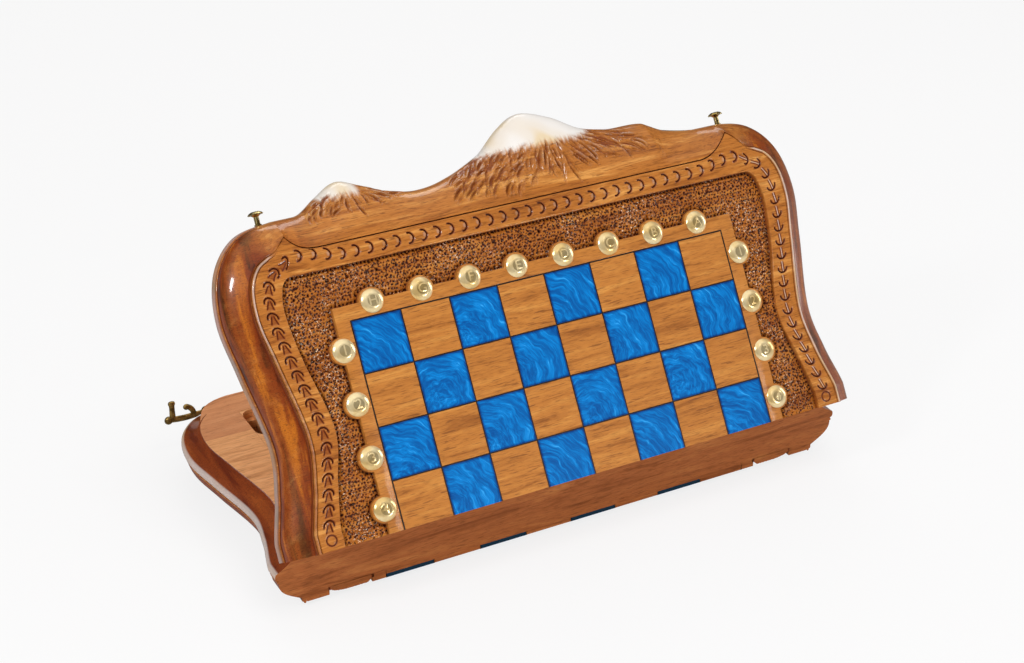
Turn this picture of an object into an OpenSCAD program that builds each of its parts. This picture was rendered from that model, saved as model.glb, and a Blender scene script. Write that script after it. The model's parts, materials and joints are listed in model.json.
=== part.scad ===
// Folding chess box: two carved trays on hinges, each with a playing field outside
// and two sliding drawers inside. Lengths in millimetres, angles in degrees.
// A tray is drawn with the hinge axis on x, y towards the free edge, and z as
// the depth from the rim plane to the playing face.

/* [Playing field] */
// Side of one square
square = 48; // [40:1:52]
// Width of the black line between squares
line_w = 1.2; // [0.8:0.1:2]
// Depth of the black line
line_deep = 1.5; // [1:0.1:3]
// Depth of a poured blue square
pocket_deep = 4.2; // [2:0.1:6]
// Rows on one tray, the hinge row being trimmed a little
rows_shown = 3.915; // [3.8:0.005:4]
// Width of the plain border around the squares
border = 14; // [12:0.5:18]

/* [Tray] */
// From the border to the outside of a side rail at the hinge
side_margin = 92.5; // [90:0.5:98]
// From the border to the free edge
front_margin = 88.08; // [84:0.04:100]
// Depth from the rim to the playing face
tray_h = 50.6; // [46:0.2:60]
// Thickness of the playing panel
panel_t = 12; // [10:0.5:14]
// Depth of the carved recess round the border
recess_deep = 4.8; // [3:0.1:6]
// Thickness of the hinge wall
hinge_t = 16; // [14:0.5:20]
// Thickness of the side and front walls of a tray at the sides
wall_t = 24; // [20:0.5:26]
// Thickness of the deck boards at the rim
deck_t = 8; // [6:0.5:10]
// Width of a side deck, from the outside of its rail at the hinge
deck_w = 67; // [65:0.5:70]
// Width of the front deck board
front_board = 73; // [60:1:90]
// How far a side rail draws in at its waist
waist = 16.5; // [14:0.5:18]
// Width of a rounded corner, from the rail's outside at the hinge
corner_w = 66.5; // [64:0.5:69]
// Width of the flat band that carries the cut marks along the front
band_w = 20; // [16:0.5:22]
// Height of the big peak above the free edge
peak_h = 49; // [30:1:60]
// Opening of the lid in the drawn pose
lid_open = 57.15; // [0:0.05:90]

/* [Drawers] */
// Width of a drawer across the box
drawer_w = 43; // [38:0.5:43]
// Thickness of a drawer's long walls
drawer_wall = 5; // [4:0.5:6]
// Thickness of a drawer's grooved end walls
drawer_end = 8; // [7:0.5:10]
// Thickness of a drawer's floor
drawer_floor = 3.5; // [3:0.5:5]
// Length of a finger slot
slot_len = 50; // [40:1:60]
// Width of a finger slot
slot_w = 13; // [11:0.5:13]
// Running clearance of a drawer
drawer_gap = 0.3; // [0.2:0.1:0.5]
// Way that a drawer slides
drawer_travel = 40; // [30:1:60]
// Height of a runner strip
runner_h = 5; // [4:0.5:6]
// Width of a runner strip
runner_w = 3.6; // [3:0.1:4.5]

/* [Brass] */
// Diameter of a domed stud
stud_d = 22; // [18:0.5:24]
// Height of a stud's dome
stud_h = 4.3; // [3:0.1:6]
// Hinges across the box
hinge_count = 3; // [2:1:4]
// Length of one hinge
hinge_len = 60; // [50:1:76]
// Radius of a hinge knuckle
knuckle_r = 3; // [2.6:0.1:3.4]
// Distance of a latch pin out from the start of its corner
latch_out = 8; // [4:1:12]
// Height of the latch pins above the rim
latch_z = 15; // [13:0.5:18]
// Length of a hook from its pivot to its arm
hook_len = 34; // [30:1:38]

/* [Hidden] */

eps = 0.01;
rim_gap = 0.2;        // each rim stays this far from the hinge plane
wall_gap = 0.1;       // each hinge wall stays this far from the hinge axis plane
fit_gap = 0.05;       // a shank in its hole
run_gap = 0.08;       // a pin or pivot in its bore
columns = 8;
half_cols = columns / 2;
field_half = half_cols * square;
field_y = rows_shown * square;
border_half = field_half + border;
border_y = field_y + border;
side_half = border_half + side_margin;
edge_y = border_y + front_margin;
corner_x = side_half - corner_w;
well_half = side_half - deck_w;
seam_y = edge_y - front_board;
panel_z = tray_h - panel_t;
recess_z = tray_h - recess_deep;
incise_in = 32.7;                     // from the free edge to the incised line
recess_y = edge_y - incise_in - band_w;
incise_y = recess_y + band_w;
front_wall_t = edge_y - incise_y + 2.7;
well_y = edge_y - front_wall_t;
seat = tray_h + stud_h;               // the tray stands on its stud domes

// Section of a side rail: inward from the widest line, then depth from the rim
rebate_u = 19.5;
slope_u = 18.7;
slope_d = 11.4;
widest_d = [15, 18];
step_u = 2.6;
step_d = 21;
cheek_end = [24, tray_h - 5.3];
bead_u = 26.7;
bead_h = 1.2;
bead_top = tray_h + bead_h;
cheek_steps = 6;

// Free edge of the front board, and the section of the mountain rail there
edge_lip = 1.2;
crest_d = [19, 22];
groove_deep = 1.7;

span_steps = 5;
// The knots between the ends are stretched with the tray
function up(y) = y * edge_y / 290;
out_knots = [[side_half, hinge_t], [side_half - waist + 6, up(55)], [side_half - waist, up(98)],
             [side_half - 5.5, up(165)], [side_half + 1.2, up(214)], [side_half - 7.3, edge_y - 34],
             [side_half - 31.5, edge_y - 6.8], [corner_x, edge_y]];
in_knots = [[side_half - 50.5, hinge_t], [side_half - 58.5, up(55)], [side_half - 68, up(101)],
            [side_half - 55.5, up(165)], [side_half - 50.5, up(205)], [side_half - 53, recess_y - 11.3],
            [side_half - 58.5, recess_y - 2], [corner_x, recess_y]];
// Skyline of the mountains: place along the free edge, height above it
sky_half = 232;
sky = [for (p = [[-sky_half, 0], [-205, 1], [-183, 14], [-164, 22.5], [-145, 16], [-122, 6],
                 [-91, 0], [-58, 5], [-20, 20], [6, 40], [28, peak_h], [58, peak_h - 9], [84, 25],
                 [112, 18], [150, 16.5], [172, 6], [205, 0], [sky_half, 0]])
       [p[0] * corner_x / sky_half, p[1]]];
sky_steps = 2;

studs_y = border_y - 1;
studs_x = border_half - 1;
lobe_r = stud_d / 2 + 1.4;
shank_r = 1.5;
shank_len = 6;

drawer_play = 3;      // between a drawer's back and the side rail's waist
drawer_in = side_half - waist - wall_t - drawer_play - drawer_w;
drawer_top = rim_gap + 0.15;
drawer_lip = deck_t + 0.5;
slot_r = 10;
slot_y = [well_y - 1.7 - slot_len, hinge_t + 1.7];
runner_d = 20;
runner_x = drawer_in - drawer_travel - 2;
groove_gap = 0.3;

leaf_t = 1.6;
leaf_w = hinge_t - 2;
pin_r = 1.25;
knuckles = 5;
hinge_pitch = well_half - 41.5;
hinge_screw_r = 1.2;
hinge_screw_len = 9;
hinge_screw_y = leaf_w / 2 + 1.5;
hinge_screw_x = [-1, 0, 1] * (hinge_len / 2 - 8);

latch_x = corner_x + latch_out;
pivot_x = latch_x + 12;
stem_r = 2.4;
arm_r = 2.3;
pivot_z = latch_z - hook_len + stem_r + arm_r + 0.4;
hook_t = 3;
bar_r = 2.1;
bar_from = 4.4;       // the bar starts outside the screw head
bar_sag = 2.2;
hook_y = edge_y + 1;
latch_len = 13;
pilot_len = 12;
pivot_r = 1.95;
collar_t = 2;
side_play = 0.25;     // between a hook and its collar or screw head

wood = "peru";
pale_wood = "burlywood";
dark_wood = "saddlebrown";
brass = "khaki";
old_brass = "darkgoldenrod";

// ---- curves ----
function mix(a, b, t) = a + (b - a) * t;
function smooth(t) = let(c = max(0, min(1, t))) c * c * (3 - 2 * c);
// Smooth curve through four knots, drawn between the middle two
function through(a, b, c, d, t) =
    0.5 * (2 * b + (c - a) * t + (2 * a - 5 * b + 4 * c - d) * t * t
           + (3 * b - a - 3 * c + d) * t * t * t);
function bow(a, b, c, d, t) =
    a * pow(1 - t, 3) + 3 * b * t * pow(1 - t, 2) + 3 * c * t * t * (1 - t) + d * pow(t, 3);
function curve(k, before, after, steps) = let(n = len(k) - 1)
    [for (i = [0:n - 1]) for (s = [0:steps - 1])
        through(i == 0 ? before : k[i - 1], k[i], k[i + 1], i == n - 1 ? after : k[i + 2], s / steps),
     k[n]];

outer = curve(out_knots, out_knots[0] + [2, -30], [corner_x - 35, edge_y], span_steps);
inner = curve(in_knots, in_knots[0] + [2, -30], [corner_x - 20, recess_y], span_steps);
stations = len(outer);
last = stations - 1;
function blend_at(i) = smooth((i - 5 * span_steps) / (2 * span_steps));
skyline = curve(sky, [-corner_x - 28, 0], [corner_x + 28, 0], sky_steps);

// ---- sections: points of inward distance and depth ----
function cheek(a, b, c, d) = [for (i = [0:cheek_steps - 1]) bow(a, b, c, d, i / (cheek_steps - 1))];
function side_section(reach) = concat(
    [[wall_t, deck_t], [rebate_u, deck_t], [rebate_u, rim_gap], [slope_u, rim_gap],
     [7.5, 9], [step_u, slope_d], [0.6, 13], [0, widest_d[0]], [0, widest_d[1]],
     [1.6, step_d - 0.4], [step_u, step_d]],
    cheek([step_u + 0.2, step_d + 1], [step_u, step_d + 12], [11.5, tray_h - 12.1], cheek_end),
    [[bead_u - 2.1, tray_h - 1.2], [bead_u - 1.1, bead_top - 0.2], [bead_u, bead_top],
     [bead_u + 1.6, tray_h], [reach, tray_h], [reach, panel_z], [wall_t, panel_z]]);
// h is the height of the skyline here, cut is where the incised line runs
function front_section(h, cut, reach) = concat(
    [[front_wall_t, deck_t], [edge_lip, deck_t], [edge_lip - 0.3, deck_t - 0.1],
     [edge_lip - 0.9, deck_t + 0.3], [-0.35 * h, deck_t + 1.2], [-0.6 * h, deck_t + 2.5],
     [-0.8 * h, deck_t + 4.5], [-0.95 * h, deck_t + 7.5], [-h, crest_d[0]], [-h, crest_d[1]],
     [0.2 - h, crest_d[1] + 2]],
    cheek([0.3 - h, crest_d[1] + 3], [0.5 - h, crest_d[1] + 15],
          [mix(-h, cut, 0.45), tray_h - 2], [cut - 0.7, tray_h - 0.3]),
    [[cut - 0.3, tray_h - 1], [cut, tray_h - groove_deep], [cut + 0.3, tray_h - 1],
     [cut + 0.7, tray_h], [reach, tray_h], [reach, panel_z], [front_wall_t, panel_z]]);
section_len = len(side_section(50));
function cut_at(x) = edge_y - incise_y - 13 * pow(smooth((abs(x) - corner_x + 62) / 60), 2);
function blended(i, reach) = let(b = blend_at(i), s = side_section(reach),
                                 f = front_section(0, cut_at(corner_x), reach))
    [for (j = [0:section_len - 1])
        j == 0 || j == section_len - 1 ? [mix(s[j][0], f[j][0], pow(b, 4)), s[j][1]]
                                       : mix(s[j], f[j], b)];
function side_ring(i) = let(way = inner[i] - outer[i], reach = norm(way), n = way / reach)
    [for (p = blended(i, reach)) [outer[i][0] + n[0] * p[0], outer[i][1] + n[1] * p[0], p[1]]];
function front_ring(x, h) =
    [for (p = front_section(h, cut_at(x), edge_y - recess_y)) [x, edge_y - p[0], p[1]]];

// Closed solid through rings of equal length
module loft(rings) {
    n = len(rings[0]);
    m = len(rings);
    polyhedron(
        points = [for (r = rings) for (p = r) p],
        faces = concat(
            [[for (j = [0:n - 1]) j]],
            [for (i = [0:m - 2]) for (j = [0:n - 1])
                [i * n + j, (i + 1) * n + j, (i + 1) * n + (j + 1) % n, i * n + (j + 1) % n]],
            [[for (j = [n - 1:-1:0]) (m - 1) * n + j]]),
        convexity = 8);
}

// ---- placing ----
y_low = wall_gap * cos(lid_open) - bead_top * sin(lid_open);
y_high = edge_y + peak_h;
module in_row() translate([0, -(y_low + y_high) / 2, seat]) children();
module base_frame() in_row() mirror([0, 0, 1]) children();
module lid_frame() in_row() rotate([lid_open, 0, 0]) children();
module both_sides() {
    children();
    mirror([1, 0, 0]) children();
}

// ---- playing face, seen from outside ----
module stud_places() {
    for (c = [0:columns - 1]) translate([(c - half_cols + 0.5) * square, studs_y]) children();
    for (r = [0:3], s = [-1, 1]) translate([s * studs_x, stud_row_y(r)]) children();
}
function stud_row_y(r) = r == 3 ? (field_y - 3 * square) / 2 : field_y - (r + 0.5) * square;
module border_2d() {
    translate([-border_half, -1]) square([2 * border_half, border_y + 1]);
    stud_places() circle(r = lobe_r, $fn = 48);
}
module face_2d() polygon(concat(
    [[in_knots[0][0], -1]], [for (p = inner) p],
    [for (i = [last:-1:0]) [-inner[i][0], inner[i][1]]], [[-in_knots[0][0], -1]]));
module recess_2d() difference() {
    face_2d();
    border_2d();
}
// Blue cells of a tray; the two trays have opposite parity
module blue_cells(odd) {
    for (r = [0:3], c = [0:columns - 1]) if ((r + c) % 2 == odd) {
        y1 = field_y - r * square;
        y0 = max(wall_gap, y1 - square);
        translate([(c - half_cols) * square + line_w / 2, r == 3 ? y0 : y0 + line_w / 2])
            square([square - line_w, y1 - y0 - (r == 3 ? line_w / 2 : line_w)]);
    }
}
module lines_2d() {
    for (c = [0:columns]) translate([(c - half_cols) * square - line_w / 2, wall_gap])
        square([line_w, field_y + line_w / 2 - wall_gap]);
    for (r = [0:3]) translate([-field_half - line_w / 2, field_y - r * square - line_w / 2])
        square([2 * field_half + line_w, line_w]);
}
module face_cuts(odd) {
    translate([0, 0, recess_z]) linear_extrude(recess_deep + 3) recess_2d();
    translate([0, 0, tray_h - pocket_deep]) linear_extrude(pocket_deep + 1) blue_cells(odd);
    translate([0, 0, tray_h - line_deep]) linear_extrude(line_deep + 1) lines_2d();
    stud_places() translate([0, 0, tray_h - shank_len - 0.5])
        cylinder(r = shank_r + fit_gap, h = shank_len + 1, $fn = 24);
}

module panel(odd) color(wood) difference() {
    translate([0, 0, panel_z]) linear_extrude(panel_t) intersection() {
        face_2d();
        translate([-side_half, hinge_t]) square([2 * side_half, edge_y]);
    }
    face_cuts(odd);
}

module blue_squares(odd) color("royalblue")
    translate([0, 0, tray_h - pocket_deep]) linear_extrude(pocket_deep) blue_cells(odd);

module line_inlay() color("black")
    translate([0, 0, tray_h - line_deep]) linear_extrude(line_deep) lines_2d();

module studs() color(brass) stud_places() translate([0, 0, tray_h]) stud();
module stud() {
    dome_r = (pow(stud_d / 2, 2) + pow(stud_h - 0.6, 2)) / (2 * (stud_h - 0.6));
    intersection() {
        translate([0, 0, stud_h - dome_r]) sphere(r = dome_r, $fn = 64);
        cylinder(r = stud_d / 2 - 0.2, h = stud_h + 1, $fn = 64);
    }
    translate([0, 0, -shank_len]) cylinder(r = shank_r, h = shank_len + 1, $fn = 24);
}

// ---- walls ----
module hinge_wall(odd) color(dark_wood) {
    s = side_section(side_half - in_knots[0][0]);
    outline = [for (j = [3:section_len - 3]) [side_half - s[j][0], s[j][1]]];
    difference() {
        translate([0, hinge_t, 0]) rotate([90, 0, 0]) linear_extrude(hinge_t - wall_gap)
            polygon(concat(outline, [for (j = [len(outline) - 1:-1:0]) [-outline[j][0], outline[j][1]]]));
        face_cuts(odd);
        at_hinges() {
            translate([-hinge_len / 2 - 0.1, -1, -1]) cube([hinge_len + 0.2, leaf_w + 1.1, leaf_t + rim_gap + 1.05]);
            barrel(knuckle_r + 0.35, hinge_len + 0.2);
            at_hinge_screws() hinge_screw(fit_gap, 0.5);
        }
    }
}

module side_rail() color(wood) loft([for (i = [0:last]) side_ring(i)]);

module front_rail() color(wood)
    loft([for (p = skyline) front_ring(p[0], max(0, min(peak_h, p[1])))]);

// ---- deck boards at the rim ----
function rim_point(i) = let(way = inner[i] - outer[i], n = way / norm(way))
    outer[i] + n * mix(rebate_u, edge_lip, blend_at(i));
rim_line = [for (i = [0:last]) rim_point(i)];
module rim_2d() polygon(concat(rim_line, [for (i = [last:-1:0]) [-rim_line[i][0], rim_line[i][1]]]));
module deck_board() translate([0, 0, rim_gap]) linear_extrude(deck_t - rim_gap) intersection() {
    rim_2d();
    children();
}
module side_deck() color(pale_wood) deck_board()
    translate([well_half, hinge_t]) square([side_half, seam_y - hinge_t]);
module front_deck() color(pale_wood) deck_board() difference() {
    translate([-side_half, seam_y]) square([2 * side_half, edge_y]);
    translate([-well_half, seam_y - 1]) square([2 * well_half, well_y - seam_y + 1]);
}

// ---- drawers, sliding towards the middle of the tray ----
module drawer() color(pale_wood) {
    y0 = hinge_t + drawer_gap + 0.1;
    y1 = well_y - drawer_gap - 0.1;
    bottom = panel_z - drawer_gap;
    difference() {
        union() {
            translate([drawer_in, y0, drawer_lip]) cube([drawer_w, y1 - y0, bottom - drawer_lip]);
            translate([drawer_in, y0, drawer_top])
                cube([well_half - drawer_gap - drawer_in, y1 - y0, drawer_lip + 1 - drawer_top]);
        }
        translate([drawer_in + drawer_wall, y0 + drawer_end, drawer_lip])
            cube([drawer_w - 2 * drawer_wall, y1 - y0 - 2 * drawer_end, bottom - drawer_floor - drawer_lip]);
        for (y = slot_y) translate([well_half - drawer_gap - slot_w, y, drawer_top - 1])
            linear_extrude(deck_t + 2) finger_2d();
        for (y = [y0 - 1, y1 - runner_w - groove_gap + 0.4])
            translate([drawer_in - 1, y, runner_d - runner_h / 2 - groove_gap])
                cube([drawer_w + 2, runner_w + groove_gap + 0.6, runner_h + 2 * groove_gap]);
    }
}
// Slot whose outer side lies on the deck's edge
module finger_2d() {
    translate([0, slot_r]) square([slot_w, slot_len - 2 * slot_r]);
    translate([slot_w - slot_r, 0]) intersection() {
        union() for (y = [slot_r, slot_len - slot_r]) translate([0, y]) circle(r = slot_r, $fn = 48);
        square([slot_r, slot_len]);
    }
    square([slot_w - slot_r, slot_len]);
}
module runners() color(dark_wood) both_sides() for (y = [hinge_t, well_y - runner_w])
    translate([runner_x, y, runner_d - runner_h / 2])
        cube([corner_x - runner_x, runner_w, runner_h]);

// ---- hinges ----
module at_hinges() for (i = [0:hinge_count - 1])
    translate([(i - (hinge_count - 1) / 2) * hinge_pitch, 0, 0]) children();
module at_hinge_screws() for (x = hinge_screw_x) translate([x, hinge_screw_y, rim_gap]) children();
module barrel(r, l) rotate([0, 90, 0]) cylinder(r = r, h = l, center = true, $fn = 32);
// More is added to the radius and to the length when the shape is used as a cut
module hinge_screw(more, deeper) {
    cylinder(r1 = 2.6 + more, r2 = hinge_screw_r + more, h = 1.4, $fn = 24);
    cylinder(r = hinge_screw_r + more, h = hinge_screw_len + deeper, $fn = 24);
    translate([0, 0, -more]) cylinder(r = 2.6 + more, h = more + eps, $fn = 24);
}
// Leaf let into the rim, with every other knuckle from first
module hinge_leaf(first) color(old_brass) {
    step = hinge_len / knuckles;
    difference() {
        union() {
            translate([-hinge_len / 2, 0, rim_gap]) cube([hinge_len, leaf_w, leaf_t]);
            for (k = [first:2:knuckles - 1]) translate([(k + 0.5) * step - hinge_len / 2, 0, 0])
                barrel(knuckle_r, step - 0.2);
        }
        for (k = [1 - first:2:knuckles - 1]) translate([(k + 0.5) * step - hinge_len / 2, 0, 0])
            barrel(knuckle_r + 0.25, step + 0.2);
        barrel(pin_r + run_gap, hinge_len + 2);
        at_hinge_screws() hinge_screw(fit_gap, 0.5);
    }
}

// ---- latches ----
module latch_pin() {
    rotate([-90, 0, 0]) {
        translate([0, 0, -pilot_len]) cylinder(r = shank_r, h = pilot_len + 1, $fn = 24);
        cylinder(r = stem_r + 1, h = 1, $fn = 32);
        cylinder(r = stem_r, h = latch_len - 2, $fn = 32);
        translate([0, 0, latch_len - 3.6]) rotate_extrude($fn = 40)
            polygon([[0, -1.4], [stem_r, -1.4], [4.6, 0.2], [7, 0.4], [7.1, 1], [6, 2.2], [4, 3.2], [0, 3.6]]);
    }
}
module hook_screw() rotate([-90, 0, 0]) {
    translate([0, 0, -pilot_len - 1]) cylinder(r = shank_r, h = pilot_len + 1, $fn = 24);
    translate([0, 0, -collar_t]) cylinder(r = 3.6, h = collar_t, $fn = 32);
    cylinder(r = pivot_r, h = hook_t + 2 * side_play + 1, $fn = 32);
    translate([0, 0, hook_t + 2 * side_play]) cylinder(r1 = 3.6, r2 = 2.8, h = 1.8, $fn = 32);
}
// Bar bent to an arc between two places on x, sagging at its middle
module bent_bar(from, to, sag, r) {
    half = (to - from) / 2;
    bend = (half * half + sag * sag) / (2 * sag);
    turn = asin(half / bend);
    translate([from + half, 0, bend - sag]) rotate([90, 0, 0])
        rotate([0, 0, -90 - turn]) rotate_extrude(angle = 2 * turn, $fn = 96)
            translate([bend, 0]) circle(r = r, $fn = 20);
}
// Right-hand hook lying outwards, its pivot at the origin and its back at y = 0
module hook() color(old_brass) translate([0, hook_t / 2, 0]) difference() {
    union() {
        rotate([90, 0, 0]) cylinder(r = 5, h = hook_t, center = true, $fn = 40);
        bent_bar(bar_from, hook_len + 4, bar_sag, bar_r);
        translate([hook_len + 5.5, 0, -0.6]) sphere(r = 3.4, $fn = 32);
        translate([hook_len, 0, 0]) {
            cylinder(r1 = arm_r, r2 = 1.8, h = 15, $fn = 24);
            translate([0, 0, 14]) cylinder(r1 = 1.8, r2 = 2.3, h = 3.4, $fn = 24);
            translate([0, 0, 17.4]) sphere(r = 2.3, $fn = 24);
        }
        translate([hook_len - 10, 0, 0]) {
            rotate([90, 0, 0]) rotate([0, 0, 112]) rotate_extrude(angle = 72, $fn = 48)
                translate([11, 0]) circle(r = 1.7, $fn = 16);
            translate([11 * cos(112), 0, 11 * sin(112)]) sphere(r = 2.3, $fn = 24);
        }
    }
    rotate([90, 0, 0]) cylinder(r = pivot_r + run_gap, h = hook_t + 2, center = true, $fn = 32);
}
module at_pivot() in_row() translate([pivot_x, hook_y, pivot_z]) children();

base_frame() hinge_wall(1);  // base_hinge_wall
base_frame() mirror([1, 0, 0]) side_rail();  // base_left_rail
base_frame() side_rail();  // base_right_rail
base_frame() front_rail();  // base_front_rail
base_frame() panel(1);  // base_panel
base_frame() blue_squares(1);  // base_blue_squares
base_frame() line_inlay();  // base_line_inlay
base_frame() studs();  // base_studs
base_frame() mirror([1, 0, 0]) side_deck();  // base_left_deck
base_frame() side_deck();  // base_right_deck
base_frame() front_deck();  // base_front_deck
base_frame() runners();  // base_runners
base_frame() mirror([1, 0, 0]) drawer();  // base_left_drawer
base_frame() drawer();  // base_right_drawer
base_frame() at_hinges() hinge_leaf(0);  // base_hinge_leaves
base_frame() at_hinges() at_hinge_screws() color(brass) hinge_screw(0, 0);  // base_hinge_screws
in_row() at_hinges() color(brass) barrel(pin_r, hinge_len);  // hinge_pins
in_row() both_sides() color(brass)  // hook_screws
    translate([pivot_x, hook_y - side_play, pivot_z]) hook_screw();
mirror([1, 0, 0]) at_pivot() hook();  // left_hook
at_pivot() hook();  // right_hook
lid_frame() hinge_wall(0);  // lid_hinge_wall
lid_frame() mirror([1, 0, 0]) side_rail();  // lid_left_rail
lid_frame() side_rail();  // lid_right_rail
lid_frame() front_rail();  // lid_front_rail
lid_frame() panel(0);  // lid_panel
lid_frame() blue_squares(0);  // lid_blue_squares
lid_frame() line_inlay();  // lid_line_inlay
lid_frame() studs();  // lid_studs
lid_frame() mirror([1, 0, 0]) side_deck();  // lid_left_deck
lid_frame() side_deck();  // lid_right_deck
lid_frame() front_deck();  // lid_front_deck
lid_frame() runners();  // lid_runners
lid_frame() mirror([1, 0, 0]) drawer();  // lid_left_drawer
lid_frame() drawer();  // lid_right_drawer
lid_frame() at_hinges() hinge_leaf(1);  // lid_hinge_leaves
lid_frame() at_hinges() at_hinge_screws() color(brass) hinge_screw(0, 0);  // lid_hinge_screws
lid_frame() both_sides() color(brass)  // latch_pins
    translate([latch_x, edge_y - 0.2, latch_z]) latch_pin();
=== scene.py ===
# Folding chess box: carved walnut trays, poured blue squares, brass studs and latches.
import bpy
import bmesh
import json
import math
import random
from mathutils import Matrix, Vector, kdtree, noise


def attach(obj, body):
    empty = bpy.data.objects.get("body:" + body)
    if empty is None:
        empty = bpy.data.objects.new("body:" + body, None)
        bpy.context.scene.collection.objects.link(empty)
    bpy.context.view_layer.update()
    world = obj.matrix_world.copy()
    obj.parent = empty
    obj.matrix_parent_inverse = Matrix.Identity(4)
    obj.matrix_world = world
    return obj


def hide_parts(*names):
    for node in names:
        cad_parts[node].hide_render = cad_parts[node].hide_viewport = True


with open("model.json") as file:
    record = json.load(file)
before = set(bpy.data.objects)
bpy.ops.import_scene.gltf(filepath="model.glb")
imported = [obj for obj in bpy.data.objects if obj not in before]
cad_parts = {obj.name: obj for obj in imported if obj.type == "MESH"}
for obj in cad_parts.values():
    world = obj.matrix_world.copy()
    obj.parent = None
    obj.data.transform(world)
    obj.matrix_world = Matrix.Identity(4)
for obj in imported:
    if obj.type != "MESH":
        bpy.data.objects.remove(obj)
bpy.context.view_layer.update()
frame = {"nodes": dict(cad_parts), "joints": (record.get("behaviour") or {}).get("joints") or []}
print("frame loaded:", len(frame["nodes"]), "nodes")

mm = 0.001
lidJoint = next(j for j in frame["joints"] if j["name"] == "lid_hinge")
hingeAt = Vector(lidJoint["pos_m"])
lidOpen = math.radians(-lidJoint["range_deg"][0])

# The camera stands where the photograph was taken from, and the photograph is 1024 x 663
camera = dict(place=(-0.8089, -1.5354, 1.1002), right=(0.8820, -0.4712, 0.0034),
              up=(0.2261, 0.4295, 0.8743), lens=72.08, sensor=36.0)

# Driving sizes in millimetres, in tray coordinates: x along the hinge,
# y to the free edge, depth from the rim to the playing face
tray = dict(square=48.0, lineWidth=1.2, columns=8, rows=4, rowsShown=3.915, border=14.0, sideHalf=298.5,
            edgeY=290.0, height=50.6, panelT=12.0, recess=4.8, coreIn=3.5, squareT=4.2, hingeT=16.0,
            wallT=24.0, deckT=8.0, rimGap=0.2, wallGap=0.1, frontMargin=52.7, frontWallIn=2.7,
            bandW=20.0, peakH=49.0, cornerX=232.0)
tray["fieldHalf"] = tray["columns"] / 2 * tray["square"]
tray["fieldY"] = tray["rowsShown"] * tray["square"]
tray["borderHalf"] = tray["fieldHalf"] + tray["border"]
tray["borderY"] = tray["fieldY"] + tray["border"]
tray["recessY"] = tray["edgeY"] - tray["frontMargin"]
tray["inciseY"] = tray["recessY"] + tray["bandW"]
tray["panelZ"] = tray["height"] - tray["panelT"]
tray["coreZ"] = tray["height"] - tray["recess"] - tray["coreIn"]
tray["frontWall"] = tray["edgeY"] - tray["inciseY"] + tray["frontWallIn"]
square, faceZ, edgeY, recessY = (tray[k] for k in ("square", "height", "edgeY", "recessY"))
inciseY, fieldY, panelZ = tray["inciseY"], tray["fieldY"], tray["panelZ"]
hingeT, wallGap = tray["hingeT"], tray["wallGap"]


def trayMatrix(side):
    place = Matrix.Translation(hingeAt)
    turn = Matrix.Rotation(lidOpen, 4, "X") if side == "lid" else Matrix.Diagonal((1, 1, -1, 1))
    return place @ turn @ Matrix.Scale(mm, 4)


# ---------- curves ----------
def mix(a, b, t):
    return a + (b - a) * t


def smooth(t):
    t = max(0.0, min(1.0, t))
    return t * t * (3 - 2 * t)


def through(a, b, c, d, t):
    # smooth curve through four knots, between the middle two
    return 0.5 * (2 * b + (c - a) * t + (2 * a - 5 * b + 4 * c - d) * t * t
                  + (3 * b - a - 3 * c + d) * t ** 3)


def bow(a, b, c, d, t):
    return a * (1 - t) ** 3 + 3 * b * t * (1 - t) ** 2 + 3 * c * t * t * (1 - t) + d * t ** 3


def bell(x, width, power=2):
    return math.exp(-(x / width) ** power)


def knotCurve(knots, before, after):
    ends = [Vector(before)] + [Vector(k) for k in knots] + [Vector(after)]

    def at(t):
        i = min(int(t), len(knots) - 2)
        return through(ends[i], ends[i + 1], ends[i + 2], ends[i + 3], t - i)
    return at


half = tray["sideHalf"]
cornerX = tray["cornerX"]
outerKnots = [(half, hingeT), (half - 10.5, 55), (half - 16.5, 98), (half - 5.5, 165),
              (half + 1.2, 214), (half - 7.3, edgeY - 34),
              (half - 31.5, edgeY - 6.8), (cornerX, edgeY)]
innerKnots = [(half - 50.5, hingeT), (half - 58.5, 55), (half - 68, 101),
              (half - 55.5, 165), (half - 50.5, 205), (half - 53, recessY - 11.3),
              (half - 58.5, recessY - 2), (cornerX, recessY)]
lastKnot = len(outerKnots) - 1
outerAt = knotCurve(outerKnots, (half + 2, -14), (cornerX - 35, edgeY))
innerAt = knotCurve(innerKnots, (half - 48.5, -14), (cornerX - 20, recessY))

# The bead's distance from the rim over the last knots of a side rail, and the horns it ends in
cornerBead = [26.9, 27.6, 28.7, 30.8, 28.7, 17.8]
beadCurve = knotCurve(list(enumerate(cornerBead)), (-1, 26.9), (6, 4))
horn = dict(meetIn=cornerBead[-1], leftStart=195.0, rightStart=188.0, rightTip=224.0, rightIn=11.7,
            leftPower=3.6, rightPower=2.2)


def beadAt(t):
    return beadCurve(max(0.0, (t - (lastKnot - 2.5)) * 2))[1]


# Skyline of the mountains: place along the free edge, height above it
skyKnots = [(-232, 0), (-205, 1), (-183, 14), (-164, 22.5), (-145, 16), (-122, 6), (-91, 0),
            (-58, 5), (-20, 20), (6, 40), (28, 49), (58, 40), (84, 25), (112, 18),
            (150, 16.5), (172, 6), (205, 0), (232, 0)]
skyCurve = knotCurve(skyKnots, (-260, 0), (260, 0))


def skyAt(x):
    for i in range(len(skyKnots) - 1):
        if x <= skyKnots[i + 1][0]:
            break
    t = i + (x - skyKnots[i][0]) / (skyKnots[i + 1][0] - skyKnots[i][0])
    return max(0.0, min(tray["peakH"], skyCurve(t)[1]))


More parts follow.
